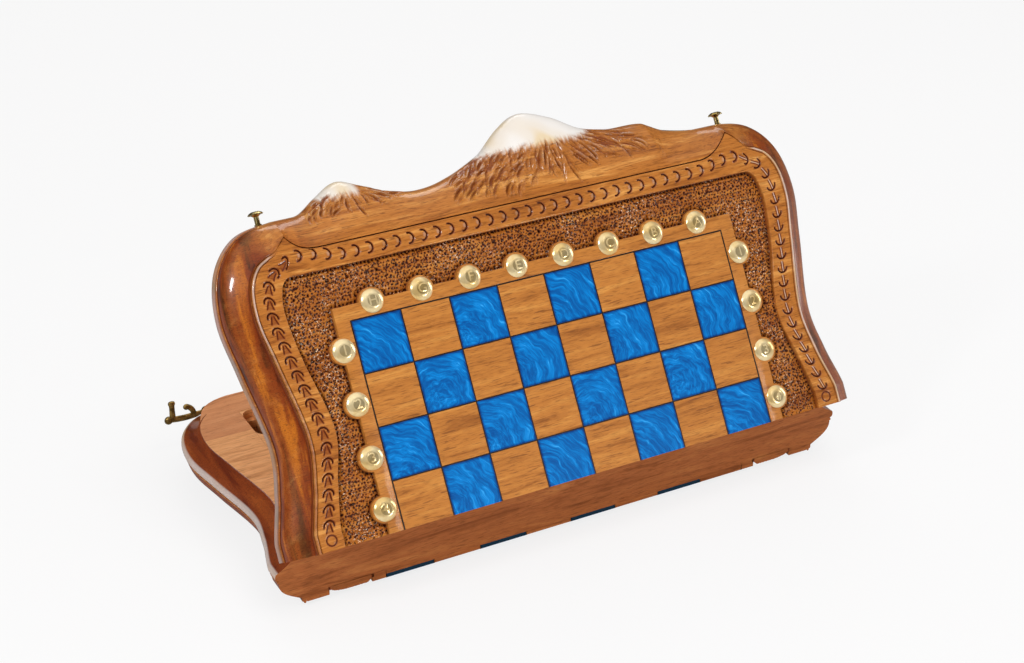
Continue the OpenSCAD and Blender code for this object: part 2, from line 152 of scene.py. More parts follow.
def cutAt(x):
    # how far inside the free edge the incised line under the mountains runs: level, then up to a
    # pointed tip at each corner, where it meets the bead of the side rail
    level = edgeY - inciseY
    if x > horn["rightTip"]:
        return mix(horn["rightIn"], horn["meetIn"], (x - horn["rightTip"]) / (cornerX - horn["rightTip"]))
    if x > 0:
        start, tip, inset, power = horn["rightStart"], horn["rightTip"], horn["rightIn"], horn["rightPower"]
    else:
        start, tip, inset, power = horn["leftStart"], cornerX, horn["meetIn"], horn["leftPower"]
    return level - (level - inset) * max(0.0, (abs(x) - start) / (tip - start)) ** power


def rowAt(x):
    # how far inside the free edge the middle of the row of marks runs
    level = edgeY - (recessY + inciseY) / 2
    return level - 6.5 * smooth((abs(x) - 178) / 45)


def searchTree(points):
    # finds the points near a place on the playing face
    tree = kdtree.KDTree(len(points))
    for k, point in enumerate(points):
        tree.insert((point[0], point[1], 0), k)
    tree.balance()
    return tree


# ---------- mesh helpers ----------
def meshOf(name, bm):
    mesh = bpy.data.meshes.new(name)
    bm.to_mesh(mesh)
    bm.free()
    return mesh


def newThing(name, data):
    thing = bpy.data.objects.new(name, data)
    bpy.context.scene.collection.objects.link(thing)
    return thing


def newPiece(name, bm, body, materials, replaces, shade=40):
    mesh = meshOf(name, bm)
    piece = newThing(name, mesh)
    for key in materials:
        mesh.materials.append(finish[key])
    mesh.shade_smooth()
    mesh.set_sharp_from_angle(angle=math.radians(shade))
    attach(piece, body)
    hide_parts(*replaces)


def trayPiece(side, name, bm, looks, node, shade=40):
    # from tray millimetres to the row frame, with faces outwards
    bmesh.ops.transform(bm, matrix=trayMatrix(side), verts=bm.verts)
    bmesh.ops.recalc_face_normals(bm, faces=bm.faces)
    newPiece(side + name, bm, side, [side + look for look in looks], [side + "_" + node], shade)


def addPart(whole, part):
    # one closed part more in the same bmesh, with its faces outwards
    bmesh.ops.recalc_face_normals(part, faces=part.faces)
    if part.calc_volume(signed=True) < 0:
        bmesh.ops.reverse_faces(part, faces=part.faces)
    mesh = meshOf("part", part)
    whole.from_mesh(mesh)
    bpy.data.meshes.remove(mesh)


def shapedGrid(columns, rows, pointAt):
    # a grid whose vertex (i, j) is moved to pointAt(i, j)
    bm = bmesh.new()
    bmesh.ops.create_grid(bm, x_segments=columns, y_segments=rows, size=1.0)
    for v in bm.verts:
        i = round((v.co.x + 1) / 2 * columns)
        j = round((v.co.y + 1) / 2 * rows)
        v.co = pointAt(i, j)
    return bm


weldDist = 0.001     # millimetres


def closeSweep(bm):
    # joins the two long edges of a swept section and caps its ends
    bmesh.ops.remove_doubles(bm, verts=bm.verts, dist=weldDist)
    bmesh.ops.holes_fill(bm, edges=[e for e in bm.edges if e.is_boundary], sides=0)
    return bm


def outlineSlab(path, low, high, bevel=0.0):
    bm = bmesh.new()
    verts = [bm.verts.new((p[0], p[1], high)) for p in path]
    edges = [bm.edges.new((verts[i], verts[(i + 1) % len(verts)])) for i in range(len(verts))]
    bmesh.ops.triangle_fill(bm, edges=edges, use_beauty=True)
    top = list(bm.faces)
    rim = [e for e in bm.edges if e.is_boundary]
    grown = bmesh.ops.extrude_face_region(bm, geom=top)
    moved = [g for g in grown["geom"] if isinstance(g, bmesh.types.BMVert)]
    bmesh.ops.translate(bm, verts=moved, vec=(0, 0, low - high))
    if bevel:
        bmesh.ops.bevel(bm, geom=[e for e in rim if e.is_valid], offset=bevel, segments=2,
                        affect="EDGES", profile=0.5, material=-1)
    return bm


# ---------- materials ----------
def colour(code):
    # sRGB hex to linear
    parts = [int(code[i:i + 2], 16) / 255 for i in (1, 3, 5)]
    return tuple(p / 12.92 if p <= 0.04045 else ((p + 0.055) / 1.055) ** 2.4 for p in parts) + (1.0,)


def setInputs(tree, node, inputs):
    # an input is a value, a hex colour, a socket, or a node, which stands for its first live output
    for key, value in inputs.items():
        if isinstance(value, bpy.types.Node):
            value = next(s for s in value.outputs if s.enabled)
        if isinstance(value, bpy.types.NodeSocket):
            tree.links.new(value, node.inputs[key])
        else:
            node.inputs[key].default_value = colour(value) if isinstance(value, str) else value


def addNode(tree, kind, inputs=None, stops=(), curve="EASE", **settings):
    # stops and curve are those of a colour ramp
    node = tree.nodes.new("ShaderNode" + kind)
    for key, value in settings.items():
        setattr(node, key, value)
    if stops:
        band = node.color_ramp
        band.interpolation = curve
        while len(band.elements) < len(stops):
            band.elements.new(0.5)
        for element, (at, tone) in zip(band.elements, stops):
            element.position, element.color = at, colour(tone)
    setInputs(tree, node, inputs or {})
    return node


def newMaterial(name):
    material = bpy.data.materials.new(name)
    material.use_nodes = True
    tree = material.node_tree
    tree.nodes.clear()
    shader = addNode(tree, "BsdfPrincipled")
    addNode(tree, "OutputMaterial", {"Surface": shader})
    return material, tree, shader


def trayCoordinates(tree, side, scale=(1, 1, 1)):
    # object coordinates turned flat with the tray, in metres: stretched, and as they are
    place = addNode(tree, "TexCoord").outputs["Object"]
    away = addNode(tree, "VectorMath", {0: place, 1: tuple(hingeAt)}, operation="SUBTRACT")
    flat = addNode(tree, "Mapping", {"Vector": away, "Rotation": (-lidOpen if side == "lid" else 0.0, 0, 0)})
    return addNode(tree, "Mapping", {"Vector": flat, "Scale": scale}), flat


# Walnut as finished on this box: tones from dark streak to light, fibre in millimetres, and the stain's
# tones where a part of the piece is stained
walnut = {
    "carved": dict(tones=("#864A1B", "#A76629", "#C68945"), stain=("#320D02", "#742B06", "#AC5E10"),
                   baseReflectedStain=("#66260B", "#7F3711", "#944819"),
                   fibre=0.9, figure=0.62, roughness=0.34, coat=0.5, gloss=0.15, bump=0.3),
    "field": dict(tones=("#8E531C", "#AC6C2B", "#BD803A"), fibre=0.8, figure=0.55, roughness=0.45,
                  coat=0.10, gloss=0.25, bump=0.3),
    "ground": dict(tones=("#7E4210", "#9A591C", "#B0722E"), fibre=0.9, figure=0.15, roughness=0.4,
                   coat=0.35, gloss=0.1, bump=0.1, hammer=0.0016),
    "plank": dict(tones=("#7C411A", "#9C592B", "#B06D38"), fibre=0.9, figure=0.5, roughness=0.5,
                  coat=0.0, gloss=0.15, bump=0.3),
    "deck": dict(tones=("#BA7C46", "#DA995F", "#E6A870"), fibre=1.3, figure=0.35, roughness=0.6,
                 coat=0.0, gloss=0.25, bump=0.2),
    "deckFront": dict(tones=("#9D6035", "#C27F4E", "#CF8D5B"), fibre=0.7, figure=0.3, roughness=0.6,
                      coat=0.0, gloss=0.25, bump=0.2),
}


def woodMaterial(name, look, side):
    # walnut: broad wavy figure, fine fibres and short dark pores along x; the mesh
    # attributes say where it is cut (painted shade), stained, pale (bleached caps, and painted highlights
    # and reflections), or a board of its own tone
    material, tree, shader = newMaterial(name)
    part = {key: addNode(tree, "Attribute", attribute_name=key).outputs["Fac"]
            for key in ("cut", "stain", "snowAndSheen", "tone")}
    grain, flat = trayCoordinates(tree, side, (0.09, 1, 1))
    slip = addNode(tree, "CombineXYZ", {"X": part["tone"], "Y": part["tone"]})
    grain = addNode(tree, "VectorMath", {0: grain, 1: slip}, operation="ADD")
    along = trayCoordinates(tree, side, (1, 0.12, 1))[0]    # the stain streaks along the side rails
    # noises are name, place, scale, detail, roughness and distortion
    noises = [("figure", grain, 95.0, 4.0, 0.6, 1.2), ("cloud", along, 60.0, 5.0, 0.65, 0.6),
              ("fibre", grain, 1000 / look["fibre"], 3.0, 0.65, 0.2), ("pores", grain, 640.0, 1.0, 0.5, 0.0),
              ("blush", flat, 22.0, 1.0, 0.5, 0.0)]
    stain = look.get("stain", look["tones"])
    # the base tray's stain is lighter in its dark streaks: painted reflection of the white floor in its
    # varnish
    if side == "base":
        stain = look.get("baseReflectedStain", stain)
    ramps = [("plain", "figure", "EASE", list(zip((0.28, 0.50, 0.72), look["tones"]))),
             ("stained", "cloud", "EASE", list(zip((0.34, 0.50, 0.68), stain))),
             ("fibres", "fibre", "LINEAR", [(0.30, "#6E5A4C"), (0.50, "#F0F0F0"), (0.75, "#FFFFFF")]),
             ("dark", "pores", "LINEAR", [(0.655, "#000000"), (0.70, "#FFFFFF")]),
             ("pale", "blush", "EASE", [(0.34, "#C9B697"), (0.46, "#CCC3B8"), (0.62, "#D0CBC6")])]
    if "hammer" in look:
        noises += [("facet", flat, 430.0, 2.0, 0.6, 0.0), ("spark", flat, 600.0, 2.0, 0.6, 0.8),
                   ("zone", flat, 24.0, 1.0, 0.5, 0.0)]
        ramps += [("hollow", "facet", "EASE", [(0.36, "#FFFFFF"), (0.47, "#000000")]),
                  ("glintSpots", "spark", "EASE", [(0.605, "#000000"), (0.67, "#FFFFFF")]),
                  ("zones", "zone", "EASE", [(0.42, "#404040"), (0.60, "#F0F0F0")])]
    for key, place, scale, detail, roughness, distortion in noises:
        part[key] = addNode(tree, "TexNoise", {"Vector": place, "Scale": scale, "Detail": detail,
                            "Roughness": roughness, "Distortion": distortion})
    for key, source, curve, stops in ramps:
        part[key] = addNode(tree, "ValToRGB", {"Fac": part[source]}, stops, curve)
    pores = addNode(tree, "Math", {0: part["dark"], 1: look["figure"]}, operation="MULTIPLY")
    # painted shade in the cuts: red where shallow, black where deep
    shallow, deep = [addNode(tree, "MapRange", {"Value": part["cut"], "From Min": low, "From Max": high})
                     for low, high in ((0.0, 0.5), (0.5, 1.0))]
    layers = [(part["stain"], part["stained"], "MIX"), (look["figure"], part["fibres"], "MULTIPLY"),
              (pores, "#5A2E10", "MIX"), (part["snowAndSheen"], part["pale"], "MIX"),
              (shallow, "#6A2C0E", "MIX"), (deep, "#180803", "MIX")]
    bump = addNode(tree, "Bump", {"Height": part["fibre"], "Strength": look["bump"], "Distance": 0.0003})
    if "hammer" in look:        # facets between the punch marks, painted shade in their hollows, painted glints on the varnish
        bump = addNode(tree, "Bump", {"Height": part["facet"], "Distance": look["hammer"], "Normal": bump})
        paintedGlint = addNode(tree, "Mix", {0: 1.0, 6: part["glintSpots"], 7: part["zones"]}, data_type="RGBA",
                        blend_type="MULTIPLY")
        layers += [(part["hollow"], "#2A1005", "MIX"), (paintedGlint, "#DCC6AE", "MIX")]
    base = part["plain"]
    for factor, over, mode in layers:
        base = addNode(tree, "Mix", {0: factor, 6: base, 7: over}, data_type="RGBA", blend_type=mode)
    setInputs(tree, shader, {"Base Color": base, "Normal": bump, "Roughness": look["roughness"],
                             "Specular IOR Level": look["gloss"], "Coat Weight": look["coat"],
                             "Coat Roughness": 0.09})
    return material


epoxy = dict(stir=(0.9, 0.5, 0.0), warp=(0.35, 0.35, 0.0), rings=14.0, swing=1.7, skin=0.15)


def epoxyMaterial(name, side):
    # epoxy with pearl pigment: in each square the streaks run in arcs round a stirred middle
    material, tree, shader = newMaterial(name)
    size = square * mm
    made = {"flat": trayCoordinates(tree, side)[1]}

    def work(steps):
        # a step is its name, kind and operation, and its inputs as values or names
        for key, kind, operation, *values in steps:
            values = [made[v] if isinstance(v, str) else v for v in values]
            made[key] = addNode(tree, kind, dict(enumerate(values)), operation=operation)

    work([("cells", "VectorMath", "MULTIPLY", "flat", (1 / size, 1 / size, 0)),
          ("cells", "VectorMath", "ADD", "cells", (8.0, 4 - tray["rowsShown"], 0.0)),
          ("index", "VectorMath", "FLOOR", "cells"),
          ("part", "VectorMath", "FRACTION", "cells"),
          ("place", "VectorMath", "SUBTRACT", "part", (0.5, 0.5, 0.0))])
    made["luck"] = addNode(tree, "TexWhiteNoise", {"Vector": made["index"]},
                           noise_dimensions="3D").outputs["Color"]
    made["warp"] = addNode(tree, "TexNoise", {"Vector": made["cells"], "Scale": 2.2,
                           "Detail": 2.0}).outputs["Color"]
    work([("push", "VectorMath", "MULTIPLY", "warp", epoxy["warp"]),
          ("off", "VectorMath", "MULTIPLY", "luck", epoxy["stir"]),
          ("bent", "VectorMath", "ADD", "place", "push"),
          ("bent", "VectorMath", "ADD", "bent", "off"),
          ("far", "VectorMath", "LENGTH", "bent"),
          ("side", "VectorMath", "ABSOLUTE", "place")])
    for key in ("bent", "side", "flat"):
        for axis, socket in zip("XYZ", addNode(tree, "SeparateXYZ", {"Vector": made[key]}).outputs):
            made[key + axis] = socket
    work([("turn", "Math", "ARCTAN2", "bentY", "bentX"),
          ("rings", "Math", "MULTIPLY", "far", epoxy["rings"]),
          ("swing", "Math", "MULTIPLY", "turn", epoxy["swing"]),
          ("edge", "Math", "MAXIMUM", "sideX", "sideY"),
          ("depth", "Math", "ABSOLUTE", "flatZ"),
          ("under", "Math", "LESS_THAN", "depth", (faceZ - epoxy["skin"]) * mm)])
    ringed = addNode(tree, "CombineXYZ", {"X": made["rings"], "Y": made["swing"], "Z": made["luck"]})
    streak = addNode(tree, "TexNoise", {"Vector": ringed, "Scale": 1.0, "Detail": 5.0,
                     "Roughness": 0.7, "Distortion": 0.35})
    base = addNode(tree, "ValToRGB", {"Fac": streak}, [(0.28, "#003C7C"), (0.46, "#005394"),
                   (0.60, "#006FB6"), (0.78, "#3A9EDA")], "LINEAR")
    # painted shade: each square darker towards its edges
    shade = addNode(tree, "ValToRGB", {"Fac": made["edge"]}, [(0.43, "#FFFFFF"), (0.497, "#7088AC")])
    base = addNode(tree, "Mix", {0: 1.0, 6: base, 7: shade}, data_type="RGBA", blend_type="MULTIPLY")
    # painted shade: the squares' sides below the playing face dark navy
    base = addNode(tree, "Mix", {0: made["under"], 6: base, 7: "#0A2A3C"}, data_type="RGBA")
    setInputs(tree, shader, {"Base Color": base, "Roughness": 0.35, "Specular IOR Level": 0.12,
                             "Coat Weight": 0.12, "Coat Roughness": 0.06})
    return material


def brassMaterial(name, low, high, roughness, mottle, metallic=1.0):
    # brass, polished or left to age: patches of tone, and fine scratches in the roughness
    material, tree, shader = newMaterial(name)
    place = addNode(tree, "TexCoord").outputs["Object"]
    patch = addNode(tree, "TexNoise", {"Vector": place, "Scale": mottle, "Detail": 4.0})
    body = addNode(tree, "ValToRGB", {"Fac": patch}, [(0.35, low), (0.62, high)])
    cut = addNode(tree, "Attribute", attribute_name="cut").outputs["Fac"]
    base = addNode(tree, "Mix", {0: cut, 6: body, 7: "#57461A"}, data_type="RGBA")
    fine = addNode(tree, "TexNoise", {"Vector": place, "Scale": 500.0, "Detail": 2.0})
    rough = addNode(tree, "MapRange", {"Value": fine, "To Min": roughness * 0.8, "To Max": roughness * 1.2})
    setInputs(tree, shader, {"Base Color": base, "Roughness": rough, "Metallic": metallic})
    return material


def plainMaterial(name, low, high, roughness, scale):
    material, tree, shader = newMaterial(name)
    place = addNode(tree, "TexCoord").outputs["Object"]
    patch = addNode(tree, "TexNoise", {"Vector": place, "Scale": scale, "Detail": 2.0})
    base = addNode(tree, "ValToRGB", {"Fac": patch}, [(0.4, low), (0.6, high)])
    setInputs(tree, shader, {"Base Color": base, "Roughness": roughness})
    return material


studBrass = brassMaterial("polished brass", "#F0CC86", "#FFE8B4", 0.22, 60, 0.66)
finish = {"blackLine": plainMaterial("black line filler", "#0B0606", "#170C08", 0.4, 300),
          "basestud": studBrass, "lidstud": studBrass,
          "latch": brassMaterial("worn brass", "#9A8244", "#DCC688", 0.26, 180),
          "aged": brassMaterial("aged brass", "#6A5428", "#A3854A", 0.36, 160, 0.85)}
for side in ("base", "lid"):
    for key in walnut:
        finish[side + key] = woodMaterial(f"walnut {key} {side}", walnut[key], side)
    finish[side + "epoxy"] = epoxyMaterial(f"blue pearl epoxy {side}", side)
print("materials made")


# ---------- carved rails ----------
rail = dict(rebate=19.5, slope=18.7, beadIn=26.9, stations=400, slopeSteps=8,
            noseSteps=9, filletSteps=10, cheekSteps=24, beadSteps=16, bandSteps=32,
            grooveDeep=1.7, crest=(19.0, 22.0), lip=1.2, walk=700, turnKnots=1.15,
            slopeStain=dict(base=1.0, lid=0.6), noseReflection=dict(base=1.0, lid=0.5))
marks = dict(pitch=13.1, radius=4.8, width=0.82, depth=1.6, ring=4.6, ringW=0.6, ringDeep=0.9, ringY=8.7,
             first=21.0, shallow=0.28, foot=dict(climb=1.9, level=1.6, fall=1.0))


def runs(cheekSteps):
    # where each run of points of a rail's section starts: nose, fillet, cheek, bead and band
    starts = [4 + rail["slopeSteps"] + 1]
    for steps in (rail["noseSteps"], rail["filletSteps"], cheekSteps, rail["beadSteps"]):
        starts.append(starts[-1] + steps + 1)
    return starts


def curvePoints(points, steps):
    # smooth run of points through the given ones
    before, after = 2 * Vector(points[0]) - Vector(points[1]), 2 * Vector(points[-1]) - Vector(points[-2])
    at = knotCurve(points, before, after)
    return [at((len(points) - 1) * k / steps) for k in range(steps + 1)]


def flatRun(start, reach, back):
    # the flat band on the playing side, and down behind it to the deck's edge
    steps = rail["bandSteps"]
    band = [Vector((mix(start, reach - 0.5, k / steps), faceZ)) for k in range(steps + 1)]
    return band + [Vector((reach, faceZ - 0.5)), Vector((reach, panelZ)), Vector((back, panelZ))]


# A side rail's section from the rim on: distance in from the outline, and depth. The bead is
# measured from its middle and from the playing face.
sideShape = dict(slope=((18.1, 0.5), (12.8, 5.2), (7.5, 9.0), (3.4, 11.3)),
                 nose=((2.0, 12.0), (0.6, 13.2), (0.0, 15.0), (0.0, 17.4), (1.0, 19.2)),
                 fillet=((2.6, 20.1), (2.9, 20.7), (2.0, 21.2), (1.6, 22.1), (2.1, 23.0), (3.2, 23.3)),
                 cheek=((3.0, 24.2), (2.8, 34), (11.5, 38.5), (24.0, 45.3)),
                 bead=((-2.8, -4.2), (-2.8, -2.0), (-2.2, -0.8), (-1.6, -1.7), (-1.1, 0.3),
                       (0.0, 1.2), (1.0, 0.4), (1.5, -1.1), (2.0, -0.2)))


def sideSection(reach, bead):
    s = [Vector(p) for p in ((tray["wallT"], tray["deckT"]), (rail["rebate"], tray["deckT"]),
                             (rail["rebate"], tray["rimGap"]), (rail["slope"], tray["rimGap"]))]
    for key in ("slope", "nose", "fillet"):
        s += curvePoints(sideShape[key], rail[key + "Steps"])
    a, b, c, d = [Vector(p) for p in sideShape["cheek"]]
    c.x += 0.5 * (bead - rail["beadIn"])
    d.x += bead - rail["beadIn"]
    s += [bow(a, b, c, d, k / rail["cheekSteps"]) for k in range(rail["cheekSteps"] + 1)]
    s += curvePoints([(bead + x, faceZ + z) for x, z in sideShape["bead"]], rail["beadSteps"])
    return s + flatRun(bead + 2.4, reach, tray["wallT"])


def frontSection(height, cut, reach, cheekSteps):
    h = faceZ
    t = tray["deckT"]
    s = [Vector(p) for p in ((tray["frontWall"], t), (rail["lip"], t), (rail["lip"] - 0.3, t - 0.1),
                             (rail["lip"] - 0.9, t + 0.3))]
    s += curvePoints([(0.1, t + 0.5), (-0.35 * height, t + 1.2), (-0.6 * height, t + 2.5),
                      (-0.8 * height, t + 4.5)], rail["slopeSteps"])
    s += curvePoints([(-0.85 * height, t + 5.3), (-0.95 * height, t + 7.5), (-height, rail["crest"][0]),
                      (-height, rail["crest"][1]), (0.1 - height, rail["crest"][1] + 1)], rail["noseSteps"])
    s += [Vector((0.1 - height, rail["crest"][1] + 1.2 + 0.15 * k)) for k in range(rail["filletSteps"] + 1)]
    a, b = Vector((0.3 - height, rail["crest"][1] + 3)), Vector((0.5 - height, rail["crest"][1] + 15))
    shoulder = min(mix(-height, max(cut, 28.0), 0.45), cut - 2.5)
    c, d = Vector((shoulder, h - 2)), Vector((cut - 0.8, h - 0.25))
    s += [bow(a, b, c, d, k / cheekSteps) for k in range(cheekSteps + 1)]
    s += curvePoints([(cut - 0.6, h - 0.5), (cut - 0.3, h - 1.2), (cut, h - rail["grooveDeep"]),
                      (cut + 0.3, h - 1.2), (cut + 0.6, h - 0.3), (cut + 0.9, h)], rail["beadSteps"])
    return s + flatRun(cut + 1.3, reach, tray["frontWall"])


def markAt(along, across, forward, first, pitch, manner):
    # a gouged crescent: a stop cut on an arc with straight feet, and the wood pared to it from behind;
    # gives its depth, the painted shade in it and the painted highlight on its facet
    k = round((along - first) / pitch)
    if k < 0:
        return 0.0, 0.0, 0.0
    ds = (along - first - k * pitch) * forward
    off = math.hypot(ds, across) if ds > 0 else abs(across)
    wall = bell(off - marks["radius"], marks["width"], 4) * smooth((ds + marks["foot"][manner]) / 1.6)
    back = marks["radius"] - 0.8 - ds
    edge, bed, paintedSheen = 0.0, 0.0, 0.0
    if back > 0:
        fade = smooth((pitch - 2.6 - back) / 2.0)
        if manner == "climb":       # two slanting cuts run back to the next mark, in painted shade, with lighter painted shade on the bed between
            wide = 0.4 + 0.27 * back
            edge = bell(abs(across) - wide, 0.75) * fade * smooth(back / 3)
            bed = smooth((wide - abs(across)) / 0.6 + 0.5) * fade
        elif manner == "fall":      # one cut, with a painted highlight along its bottom and painted shade on its sides
            slant = across + 0.7 - 0.12 * back
            edge = 0.85 * bell(abs(slant) - 1.1, 0.5) * fade
            paintedSheen = 1.2 * bell(slant, 0.55) * fade
        else:                       # pared flat behind the arc, with painted shade on the bed and a painted highlight on its facet
            bed = 0.45 * smooth((3.2 - abs(across)) / 1.5) * smooth((5.5 - back) / 4)
            paintedSheen = 0.35 * smooth((2.4 - abs(across)) / 1.2) * smooth(back) * smooth((3.4 - back) / 1.5)
    depth = marks["depth"] * max(wall, marks["shallow"] * max(edge, bed))
    return depth, max(0.97 * wall, edge, marks["shallow"] * bed), paintedSheen


def ringAt(dx, dy):
    # a ring mark, with painted shade in its groove
    wall = bell(math.hypot(dx, dy) - marks["ring"], marks["ringW"])
    return marks["ringDeep"] * wall, wall


def sideRail(side, which, sideSign):
    forward = -sideSign     # the row of marks climbs on the left and comes down on the right
    manner = "climb" if sideSign < 0 else "fall"
    table = [(0.0, -1.0)]
    length = hingeT - wallGap
    previous = None
    for k in range(rail["walk"] + 1):
        t = lastKnot * k / rail["walk"]
        a, b = outerAt(t), innerAt(t)
        reach = (b - a).length
        middle = a + (b - a) / reach * (beadAt(t) + 2 + reach) / 2
        length += (middle - previous).length if previous else 0.0
        previous = middle
        table.append((length, t))
    count = round((length - marks["first"]) / marks["pitch"] + 0.5)
    pitch = (length - marks["first"]) / (count - 0.5)     # the corner falls midway between two marks
    noseStart, filletStart, cheekStart, beadStart, bandStart = runs(rail["cheekSteps"])
    rings = []
    step = 0
    stations = rail["stations"]
    for i in range(stations + 1):
        want = length * i / stations
        while step < len(table) - 2 and table[step + 1][0] < want:
            step += 1
        (s0, t0), (s1, t1) = table[step], table[step + 1]
        f = min(1.0, (want - s0) / max(1e-9, s1 - s0))
        if step == 0:       # straight across the hinge wall
            y = mix(wallGap, hingeT, f)
            t, a, b = 0.0, Vector((outerKnots[0][0], y)), Vector((innerKnots[0][0], y))
        else:
            t = mix(t0, t1, f)
            a, b = outerAt(t), innerAt(t)
        reach = (b - a).length
        n = (b - a) / reach
        blend = smooth((t - (lastKnot - rail["turnKnots"])) / rail["turnKnots"])
        bead = beadAt(t)
        section, front = sideSection(reach, bead), frontSection(0, bead, reach, rail["cheekSteps"])
        ring = []
        for j, (p, q) in enumerate(zip(section, front)):
            r = p.lerp(q, blend)
            if j in (0, len(section) - 1):
                r.x = mix(p.x, q.x, blend ** 4)
            cut, paintedSheen, stain = 0.0, 0.0, 0.0 if j >= bandStart else rail["slopeStain"][side]
            if bandStart <= j <= len(section) - 4:
                across = r.x - (bead + 2 + reach) / 2
                drop, cut, paintedSheen = markAt(want, across, forward, marks["first"], pitch, manner)
                ringDrop, ringCut = ringAt(want + wallGap - marks["ringY"], across)
                cut = max(cut, ringCut)
                r.y -= max(drop, ringDrop)
            elif j >= beadStart:
                # painted shade where the bead stands above the playing face, painted highlight where it
                # sinks below it
                cut = 0.6 * smooth((faceZ - 0.75 - r.y) / 0.6) * (1 - smooth(blend * 1.4))
                stain = 0.25 + 0.5 * smooth((faceZ - 2 - r.y) / 2)
                beadSheen = 0.9 if sideSign > 0 else mix(0.1, 0.6, smooth((t - 2.6) / 1.4))
                paintedSheen = beadSheen * smooth((r.y - faceZ - 0.2) / 0.8)
            elif j >= cheekStart:       # stained; painted shade darker into both creases of the cove, a painted highlight golden along its middle
                f = (j - cheekStart) / rail["cheekSteps"]
                stain = 0.72 + 0.28 * abs(2 * f - 1.1) ** 1.2
            elif j >= filletStart:
                f = (j - filletStart) / rail["filletSteps"]
                # painted shade in the grooves on both sides of the fillet, and less stain on it as a painted
                # highlight
                cut = 0.75 * (bell(f - 0.14, 0.12) + bell(f - 1.0, 0.12))
                stain = 0.2
            elif j >= noseStart:
                # painted reflection: the nose paled as if mirroring the white floor
                stain, paintedSheen = 0.95, rail["noseReflection"][side] * (1 - blend)
            cut *= 1 - 0.9 * blend if j < beadStart else 1
            at = a + n * r.x
            ring.append((Vector((sideSign * at.x, at.y, r.y)), cut, stain * (1 - blend), 0.6 * paintedSheen))
        ring.append(ring[0])
        rings.append(ring)
    bare = [(p[0].copy(), 0.0, 0.0, 0.0) for p in rings[0]]     # the sawn end is not stained
    for p in rings[0]:
        p[0].y = wallGap + 0.04
    railPiece(side, which, [bare] + rings)


def railPiece(side, which, rings):
    columns, rows = len(rings) - 1, len(rings[0]) - 1
    bm = shapedGrid(columns, rows, lambda i, j: rings[i][j][0])
    layers = [bm.verts.layers.float.new(key) for key in ("cut", "stain", "snowAndSheen")]
    for k, v in enumerate(bm.verts):
        for layer, value in zip(layers, rings[k % (columns + 1)][k // (columns + 1)][1:]):
            v[layer] = value
    closeSweep(bm)
    for f in bm.faces:      # the end at the hinge is one board with the hinge wall
        if len(f.verts) > 4 and f.calc_center_median().y < hingeT:
            f.material_index = 1
    trayPiece(side, which + "Rail", bm, ["carved", "plank"], which.lower() + "_rail", 50)


# ---------- the mountains ----------
peaks = [dict(line=299.0, left=-190.0, right=-146.0, strokes=11, tiers=(0, 5, 10), length=(9, 14)),
         dict(line=306.0, left=-38.0, right=92.0, strokes=29, tiers=(-1, 4, 10, 16, 22, 28),
              length=(12, 20))]
strokeLook = dict(width=1.45, depth=2.4, steps=10, parts=3, kept=0.86, reach=3.4, seed=7)
frontSteps = dict(stations=590, face=76)


def makeStrokes():
    # curved gouge strokes in tiers below each pale cap: steep on the left, sweeping level on the right
    rng = random.Random(strokeLook["seed"])
    strokes = []
    for peak in peaks:
        for tier in peak["tiers"]:
            for k in range(peak["strokes"]):
                lane = (k + 0.5 + rng.uniform(-0.3, 0.3)) / peak["strokes"] * 2 - 1
                fan = smooth((lane + 0.25) / 0.85)
                x = mix(peak["left"] - 6, peak["right"] + 18, (lane + 1) / 2) + tier * (1.1 * fan - 0.35)
                y = peak["line"] - tier * (1 - 0.45 * fan) + rng.uniform(-2.5, 2.5)
                y = min(y, edgeY + skyAt(x) - 2)
                turn = mix(-1.25, 1.35, fan) + rng.uniform(-0.18, 0.18)
                bend = mix(0.10, -0.06, fan) + rng.uniform(-0.06, 0.06)
                length = rng.uniform(*peak["length"]) * (1 + 0.3 * fan)
                points = []
                for m in range(strokeLook["steps"] + 1):
                    points.append((x, y))
                    x += math.sin(turn) * length / strokeLook["steps"]
                    y -= math.cos(turn) * length / strokeLook["steps"]
                    turn += bend
                if y > inciseY + 3 and rng.random() < strokeLook["kept"]:
                    strokes.append((points, rng.uniform(0.6, 1.1)))
    return strokes


def snowAt(x, y):
    # the pale caps end on a ragged level line
    ragged = 1.4 * math.sin(x * 0.9 + 2 * math.sin(x * 0.31)) + 0.9 * math.sin(x * 2.3)
    value = 0.0
    for peak in peaks:
        inside = smooth((x - peak["left"]) / 4) * smooth((peak["right"] - x) / 8)
        value = max(value, inside * smooth((y + ragged - peak["line"]) / 9.0 + 0.6))
    return value


def strokeTree(strokes):
    places, weights = [], []
    parts = strokeLook["parts"]
    for points, weight in strokes:
        last = (len(points) - 1) * parts
        for k in range(last + 1):
            i = min(k // parts, len(points) - 2)
            (x0, y0), (x1, y1), f = points[i], points[i + 1], k / parts - i
            places.append((mix(x0, x1, f), mix(y0, y1, f)))
            weights.append(weight * math.sin(math.pi * (k + 1) / (last + 2)) ** 0.6)
    return searchTree(places), weights


